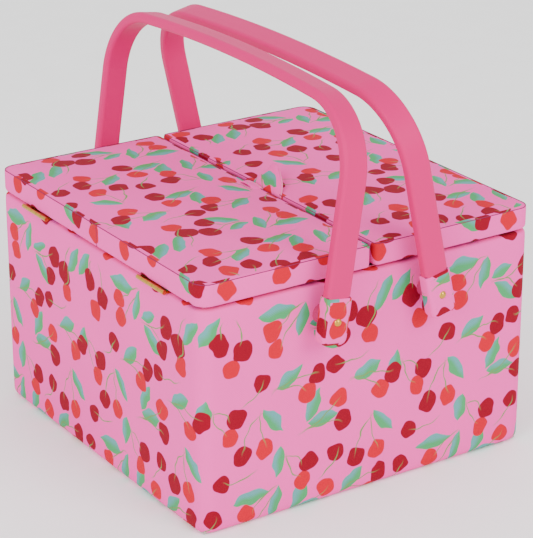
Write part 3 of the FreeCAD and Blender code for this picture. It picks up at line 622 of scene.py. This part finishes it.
def make_box_cover():
    """Cotton drawn over the padded walls, turned in over the rim and under the base."""
    low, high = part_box("box_cover")
    cloth = Cloth(steps_for(low, high))
    # the cloth is pulled down a little over the rim
    top = high[2] - 0.4 * MM
    # (inset, height) from the hem under the base, round the foot, up the wall, over the rim and inside
    profile = [(HEM, 0.0), (FOOT, 0.0)]
    profile += [(FOOT * (1 - sin(a * pi / 8)), FOOT * (1 - cos(a * pi / 8))) for a in (1, 2, 3)]
    profile += [(0.0, FOOT + (top - RIM - FOOT) * k / WALL_ROWS) for k in range(WALL_ROWS + 1)]
    profile += [(RIM * (1 - cos(a * pi / 4)), top - RIM + RIM * sin(a * pi / 4)) for a in (1, 2)]
    profile += [(5 * MM, top), (6.8 * MM, top - 0.1 * MM)]
    cloth.wrap(low, high, [CORNER] * 4, profile)
    for point in cloth.points:
        puff_wall(point, low, high)
    piece = cloth.make("box_cover_cloth", "printed_cotton")
    smooth(piece)
    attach(piece, "box")
    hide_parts("box_cover")
    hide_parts("wall_padding")


def puff_wall(point, low, high):
    """Padding lifts the cloth off a flat wall a little, and least near the edges."""
    share = [min(1.0, abs(2 * (point[k] - low[k]) / (high[k] - low[k]) - 1)) for k in range(3)]
    lift = 0.9 * MM * (1 - share[2] ** 6)
    ripple = noise.noise(point * 22) * 0.35 * MM * (1 - share[2] ** 8)
    for axis, other in ((0, 1), (1, 0)):
        on_wall = high[axis] - abs(point[axis]) < 0.5 * MM
        if on_wall and share[other] < 1:
            point[axis] += (1 if point[axis] > 0 else -1) * (lift * (1 - share[other] ** 6) + ripple)


# ---------------------------------------------------------------- lids

# how far round the print starts on each lid's band, and how far down the cloth the band was cut
LID_PRINT_START = {"left": 0.4, "right": 0.31}
LID_PRINT_DOWN = 0.1

# the lid's corners at the split, and how far its padding may swell
SPLIT_CORNER = 4 * MM
LID_SWELL = 1.3 * MM


def make_lid_cover(side):
    """The lid's cover: a side band, a sewn edge all round, and a crowned top panel over thick padding."""
    low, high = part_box(f"{side}_lid_cover")
    bottom, top = low[2], high[2]
    cloth = Cloth(steps_for(low, high))
    corners = [CORNER, SPLIT_CORNER, SPLIT_CORNER, CORNER]
    if side == "right":
        corners = [SPLIT_CORNER, CORNER, CORNER, SPLIT_CORNER]
    # (inset, height) from the hem under the lid, round its lower edge and up the band
    profile = [(HEM, bottom), (2.0 * MM, bottom), (0.5 * MM, bottom + 0.5 * MM), (0.0, bottom + 2.0 * MM)]
    profile += [(0.0, bottom + share * (top - bottom)) for share in (0.3, 0.5, 0.7, 0.9)]
    # over the sewn edge, which dips a little, and on to the padding
    profile += [(0.1 * MM, top - 0.7 * MM), (0.35 * MM, top - 0.35 * MM)]
    profile += [(0.8 * MM, top - 0.5 * MM), (1.3 * MM, top - 0.2 * MM), (3.5 * MM, top + 0.2 * MM)]
    last = cloth.wrap(low, high, corners, profile, (LID_PRINT_START[side], LID_PRINT_DOWN))[1]
    sewn = len(cloth.points)

    def crown(s, t):
        return 0.9 * MM * (1 - abs(2 * s - 1) ** 4) * (1 - abs(2 * t - 1) ** 6)

    # the top panel was cut the other way up from the walls
    cloth.panel(last, lambda p: (0.031 - p.x, 0.083 - p.y), height_of=crown)
    # the band's cloth is a little slack between its corners
    for point in cloth.points[:sewn]:
        ripple = noise.noise(point * 30) * 0.3 * MM
        if bottom + 2 * MM < point.z < top - 1 * MM and abs(point.y) < high[1] - CORNER:
            point.x += ripple
    piece = cloth.make(f"{side}_lid_cover_cloth", "printed_cotton")
    puff(piece, sewn, LID_SWELL)
    smooth(piece)
    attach(piece, f"{side}_lid")
    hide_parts(f"{side}_lid_cover")
    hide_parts(f"{side}_lid_padding")
    # a dark thread just inside the sewn edge: a real seam, and painted shade of the fold along that edge
    edge = inset_outline(low, high, corners, cloth.steps, 0.6 * MM)
    run = [Vector((p.x, p.y, top - 0.3 * MM)) for p in edge]
    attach(thread(f"{side}_lid_edge_seam_and_painted_shade", run, True, 0.3 * MM), f"{side}_lid")
    if side == "left":
        # the side band's two ends meet in an upright join at the hinge side
        x, y = low[0] + 0.05 * MM, -5 * MM
        join = [Vector((x, y + 0.4 * MM * sin(k), bottom + 1 * MM + k * 1.7 * MM)) for k in range(9)]
        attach(thread("left_lid_band_join", join, False, 0.3 * MM), "left_lid")


# ---------------------------------------------------------------- pull tabs

# rise: how far it stands up before it bends.  bend: the bend's radius.  lean: degrees from upright after it.
# flap: its length from there.  root and tip: its ends along Y.  ends: their height as a share of the
# middle's.  print: where its print starts, in metres.  The lengths are in millimetres.
TABS = {
    "left": {
        "rise": 10.2, "bend": 3.0, "lean": 80, "flap": 5.0,
        "root": (-15, 25), "tip": (-9, 19), "ends": 0.35, "print": (0.052, 0.118),
    },
    "right": {
        "rise": 9.4, "bend": 6.0, "lean": 45, "flap": 16.0,
        "root": (-27, 13), "tip": (-3.6, 6.5), "ends": 0.84, "print": (0.0134, 0.013),
    },
}

# half a tab's thickness, how many mesh steps it takes across, and how sharply it narrows towards its tip
TAB_HALF_MM = 0.6
TAB_ACROSS = 12
TAB_TAPER = 2.2


def tab_path(tab):
    """Places and outward normals in X and Z along a tab, for a tab that leans to +X."""
    rise, bend, turn = tab["rise"], tab["bend"], radians(tab["lean"])
    path = [(0.0, rise * k / 4, -1.0, 0.0) for k in range(4)]
    for k in range(6):
        angle = turn * k / 5
        path.append((bend * (1 - cos(angle)), rise + bend * sin(angle), -cos(angle), sin(angle)))
    x, z = path[-1][:2]
    for k in (1, 2, 3, 4):
        run = tab["flap"] * k / 4
        path.append((x + run * sin(turn), z + run * cos(turn), -cos(turn), sin(turn)))
    return path


def make_tab(side):
    """A folded strip of the printed cloth that comes up out of the split; it narrows towards its tip."""
    tab, sign = TABS[side], SIDES[side]
    low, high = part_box(f"{side}_pull_tab")
    start_x = (low[0] if sign > 0 else high[0]) + sign * 0.7 * MM
    path = tab_path(tab)
    lengths = [0.0]
    for before, after in zip(path, path[1:]):
        lengths.append(lengths[-1] + hypot(after[0] - before[0], after[1] - before[1]) * MM)
    length = lengths[-1]
    cloth = Cloth((1, 1))
    rings = []
    for k, (x, z, normal_x, normal_z) in enumerate(path):
        share = (lengths[k] / length) ** TAB_TAPER
        y_low, y_high = (MM * (root + (tip - root) * share) for root, tip in zip(tab["root"], tab["tip"]))
        rings.append(len(cloth.points))
        for face in (1, -1):
            for j in range(TAB_ACROSS + 1):
                t = j / TAB_ACROSS if face > 0 else 1 - j / TAB_ACROSS
                to_end = abs(2 * t - 1)
                # the part inside the split droops less than the flap, and its first two rings not at all
                droop = 1 - (1 - tab["ends"]) * to_end ** 3 * (0.3 if z <= tab["rise"] * 0.8 else 1.0)
                half = TAB_HALF_MM * (1 - 0.65 * to_end ** 8) * face
                height = z * (1.0 if k < 2 else droop)
                place = Vector((sign * (x + normal_x * half), 0, height + normal_z * half)) * MM
                wave = noise.noise(Vector((k * 0.5, t * 3, sign))) * 0.5 * MM * share
                place.y = y_low + (y_high - y_low) * t
                cloth.points.append(place + Vector((start_x + wave, 0, low[2])))
    count = 2 * (TAB_ACROSS + 1)
    wide = (tab["root"][1] - tab["root"][0]) * MM
    u_start, v_start = tab["print"]
    for k in range(len(rings) - 1):
        for j in range(count):
            after = (j + 1) % count
            around = [rings[k] + j, rings[k] + after, rings[k + 1] + after, rings[k + 1] + j]
            spots = [(j, k), (j + 1, k), (j + 1, k + 1), (j, k + 1)]
            if sign > 0:
                around.reverse()
                spots.reverse()
            cloth.faces.append(tuple(around))
            corners = ((u_start + wide * u / TAB_ACROSS, v_start + lengths[v]) for u, v in spots)
            cloth.prints.append(tuple(corners))
    for ring, flip in ((rings[0], sign > 0), (rings[-1], sign < 0)):
        for j in range(TAB_ACROSS):
            around = [ring + j, ring + j + 1, ring + count - 2 - j, ring + count - 1 - j]
            if not flip:
                around.reverse()
            cloth.faces.append(tuple(around))
            cloth.prints.append(PLAIN)
    # the turned edge shows the cloth's pale back
    if side == "left":
        edge = [cloth.points[rings[7] + j] for j in range(TAB_ACROSS + 1)]
    else:
        edge = [cloth.points[ring] for ring in rings[3:]]
    rolled = thread(f"{side}_tab_rolled_edge", edge, False, 0.55 * MM, "cloth_back")
    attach(rolled, f"{side}_lid")
    piece = cloth.make(f"{side}_pull_tab_cloth", "printed_cotton")
    smooth(piece)
    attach(piece, f"{side}_lid")
    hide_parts(f"{side}_pull_tab")


# ---------------------------------------------------------------- handle sockets


# how far each handle stands off upright, in degrees
LEAN = {"left": 8.5, "right": -12.4}

# the handle bar's section
BAR_WIDE = 18 * MM
BAR_THICK = 7.5 * MM
BAR_ROUND = 2.5 * MM

# a socket's half width, its reach below and above the pivot, its corners below and above, its edges' roll
SOCKET_HALF = 9.8 * MM
SOCKET_BELOW = 16 * MM
SOCKET_ABOVE = 15.5 * MM
SOCKET_CORNERS = [5 * MM, 5 * MM, 1.2 * MM, 1.2 * MM]
SOCKET_ROLL = 2.2 * MM

# where each socket was cut from the print
SOCKET_PRINT = {
    ("left", "front"): 0.012,
    ("left", "back"): 0.102,
    ("right", "front"): 0.061,
    ("right", "back"): 0.151,
}


def lean_of(side):
    """How the side's handle stands: its pivot, and its turn about the pivot's axis."""
    pivot = Vector(JOINTS[f"{side}_handle_swing"]["pos_m"])
    return Matrix.Translation(pivot) @ Matrix.Rotation(radians(LEAN[side]), 4, "Y")


def make_socket(side, end):
    """A flat pocket of printed cotton over a stiff core, folded round the handle's foot."""
    node = f"{side}_{end}_socket"
    low_y, high_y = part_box(node)[0][1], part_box(node)[1][1]
    thick = high_y - low_y
    cloth = Cloth((12, 16))
    low, high = (-SOCKET_HALF, -SOCKET_BELOW), (SOCKET_HALF, SOCKET_ABOVE)
    turns = [a * pi / 6 for a in (0, 1, 2, 3)]
    arc = [(SOCKET_ROLL * (1 - sin(turn)), SOCKET_ROLL * (1 - cos(turn))) for turn in turns]
    profile = arc + [(0.0, thick / 2)] + [(inset, thick - height) for inset, height in reversed(arc)]
    start = SOCKET_PRINT[side, end]
    back, front = cloth.wrap(low, high, SOCKET_CORNERS, profile, (0.0, start))
    cloth.panel(back, lambda p: (p.x + start, p.y + start), up=False, height_of=lambda s, t: -0.5 * MM)
    cloth.panel(front, lambda p: (p.x + start + 0.02, p.y + start), height_of=lambda s, t: 0.5 * MM)
    # the flat pocket's own z points away from the box
    if end == "front":
        stand = Matrix.Translation((0, high_y, 0)) @ Matrix.Rotation(pi / 2, 4, "X")
    else:
        mirror = Matrix.Scale(-1, 4, Vector((0, 1, 0)))
        stand = Matrix.Translation((0, low_y, 0)) @ Matrix.Rotation(-pi / 2, 4, "X") @ mirror
    turn = lean_of(side) @ stand
    # a dark ring round the mouth, close against the bar: painted shadow of the gap between the bar and the
    # socket
    bar = Vector((BAR_WIDE / 2, BAR_THICK / 2))
    around_bar = inset_outline(-bar, bar, [BAR_ROUND] * 4, (2, 2), -0.05 * MM)
    mouth = [turn @ Vector((p.x, SOCKET_ABOVE + 0.1 * MM, thick / 2 + p.y)) for p in around_bar]
    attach(thread(f"{node}_mouth_painted_gap_shadow", mouth, True, 0.4 * MM), f"{side}_bail")
    piece = cloth.make(f"{node}_cloth", "printed_cotton", turn=turn)
    smooth(piece)
    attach(piece, f"{side}_bail")
    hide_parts(node)


# ---------------------------------------------------------------- inside the lids


CUSHION_CORNER = 14 * MM
CUSHION_SWELL = 3 * MM

# how many gathers and ruches the elastic draws up in the full width
GATHERS = 19
RUCHES = 38


def make_pincushion():
    """A stuffed red cushion sewn to the right lid's lining."""
    low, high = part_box("pincushion")
    cloth = Cloth((14, 20))
    top = high[2] - 0.1 * MM
    for inset, drop in ((1.5, 0.0), (1.5, 1.0), (1.9, 2.0)):
        ring = inset_outline(low, high, [CUSHION_CORNER] * 4, cloth.steps, inset * MM)
        first = cloth.ring(ring, top - drop * MM)
        if drop:
            cloth.band(first, first - len(ring), 0.0, 0.0, [0.0] * (len(ring) + 1))

    def hollow(s, t):
        return -7.5 * MM * (1 - abs(2 * s - 1) ** 2.4) * (1 - abs(2 * t - 1) ** 3)

    cloth.panel(first, lambda p: (p.x, p.y), up=False, height_of=hollow)
    piece = cloth.make("stuffed_pincushion", "cushion_cloth")
    # the two rings against the lining are sewn down
    puff(piece, 2 * len(ring), CUSHION_SWELL)
    smooth(piece)
    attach(piece, "right_lid")
    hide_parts("pincushion")


def make_pocket(elastic):
    """A cloth pocket under the left lid: sewn flat on three sides and gathered along its mouth."""
    low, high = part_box("lid_pocket")
    columns, rows = 24, 76
    top, deep = high[2] - 0.2 * MM, high[2] - low[2]
    cloth = Cloth((columns, rows))
    for i in range(columns + 1):
        for j in range(rows + 1):
            s, t = i / columns, j / rows
            to_end = abs(2 * t - 1)
            belly = (1 - to_end ** 6) * (1 - (1 - s) ** 3)
            gathers = sin(t * 2 * pi * GATHERS + 1.3 * sin(t * 17)) * s ** 2 * (1 - to_end ** 8)
            drop = (0.75 * deep - 0.2 * MM) * belly + 0.8 * MM * gathers * belly
            place = (low[0] + (high[0] - low[0]) * s, low[1] + (high[1] - low[1]) * t, top - drop)
            cloth.points.append(Vector(place))
    for i in range(columns):
        for j in range(rows):
            first = i * (rows + 1) + j
            cloth.faces.append((first, first + 1, first + rows + 2, first + rows + 1))
            cloth.prints.append(PLAIN)
    piece = cloth.make("gathered_lid_pocket", "lining_cloth")
    skin = piece.modifiers.new("cloth_thickness", "SOLIDIFY")
    skin.thickness = 0.5 * MM
    skin.offset = 0
    smooth(piece)
    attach(piece, "left_lid")
    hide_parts("lid_pocket")


def make_elastic():
    """The ruched casing over the elastic at the pocket's mouth."""
    low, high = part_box("pocket_elastic")
    stations, around = 150, 12
    cloth = Cloth((1, 1))
    middle_x, middle_z = (low[0] + high[0]) / 2, (low[2] + high[2]) / 2 + 0.3 * MM
    for k in range(stations + 1):
        t = k / stations
        ruche = 1 + 0.22 * sin(t * 2 * pi * RUCHES + 0.9 * sin(t * 23))
        # the casing thins out where it is sewn down at its ends
        end = min(1.0, 20 * min(t, 1 - t) + 0.3)
        for j in range(around):
            angle = 2 * pi * j / around
            across = cos(angle) * (high[0] - low[0]) / 2
            height = sin(angle) * 0.9 * MM * ruche * end
            place = (middle_x + across, low[1] + (high[1] - low[1]) * t, middle_z + height)
            cloth.points.append(Vector(place))
    for k in range(stations):
        for j in range(around):
            after = (j + 1) % around
            first, second = k * around, (k + 1) * around
            cloth.faces.append((first + j, first + after, second + after, second + j))
            cloth.prints.append(PLAIN)
    piece = cloth.make("ruched_elastic_casing", "elastic")
    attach(piece, "left_lid")
    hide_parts("pocket_elastic")
    return piece


# ---------------------------------------------------------------- camera, floor, lights


def aim(thing, place, target):
    """Stands a camera or lamp at a place and points it at a target."""
    thing.location = place
    thing.rotation_euler = (Vector(target) - Vector(place)).to_track_quat("-Z", "Y").to_euler()


def make_camera():
    """A long lens from the front left, a little above the lids."""
    data = bpy.data.cameras.new("studio_camera")
    data.lens = 148.8
    data.clip_end = 20
    camera = bpy.data.objects.new("studio_camera", data)
    bpy.context.collection.objects.link(camera)
    target = Vector((0.0251, 0.0296, 0.0957))
    azimuth, elevation, away = radians(-33.42), radians(21.90), 1.5747
    back = Vector((sin(azimuth) * cos(elevation), -cos(azimuth) * cos(elevation), sin(elevation)))
    aim(camera, target + back * away, target)
    bpy.context.scene.camera = camera


def make_floor():
    """A broad sheet of white paper: matt, with a faint mottle of fibre."""
    mesh = bpy.data.meshes.new("studio_floor")
    reach = 30
    corners = [(-reach, -reach, 0), (reach, -reach, 0), (reach, reach, 0), (-reach, reach, 0)]
    mesh.from_pydata(corners, [], [(0, 1, 2, 3)])
    material, tree, shader = new_material("white_paper_sweep", Roughness=0.9)
    fibre = add(tree, "ShaderNodeTexNoise", {"Vector": place_mm(tree), "Scale": 1 / 40, "Detail": 3.0})
    dull, bright = colour("FAF9F9"), colour("FFFFFF")
    shade = add(tree, "ShaderNodeMix", {0: fibre, 6: dull, 7: bright}, data_type="RGBA")
    tree.links.new(shade.outputs[2], shader.inputs["Base Color"])
    mesh.materials.append(material)
    floor = bpy.data.objects.new("studio_floor", mesh)
    bpy.context.collection.objects.link(floor)


def make_lamp(name, place, wide, power):
    """A round softbox aimed at the middle of the box."""
    data = bpy.data.lights.new(name, "AREA")
    data.shape = "DISK"
    data.size = wide
    data.energy = power
    lamp = bpy.data.objects.new(name, data)
    bpy.context.collection.objects.link(lamp)
    aim(lamp, place, (0, 0, 0.1))


def make_studio():
    """A bright white tent with a soft key from the right front and a wide fill from the left."""
    world = bpy.data.worlds.new("white_tent")
    world.use_nodes = True
    background = world.node_tree.nodes["Background"]
    background.inputs["Color"].default_value = (1, 1, 1, 1)
    background.inputs["Strength"].default_value = 1.5
    bpy.context.scene.world = world
    make_lamp("key_softbox", (0.4, -1.9, 1.3), 1.2, 28)
    make_lamp("fill_softbox", (-2.0, -0.9, 1.1), 1.4, 36)


# ---------------------------------------------------------------- making the scene

finish_cad_nodes()
make_camera()
make_floor()
make_studio()
make_box_cover()
make_pincushion()
make_pocket(make_elastic())
for lid_side in SIDES:
    make_lid_cover(lid_side)
    make_tab(lid_side)
    for socket_end in ENDS:
        make_socket(lid_side, socket_end)
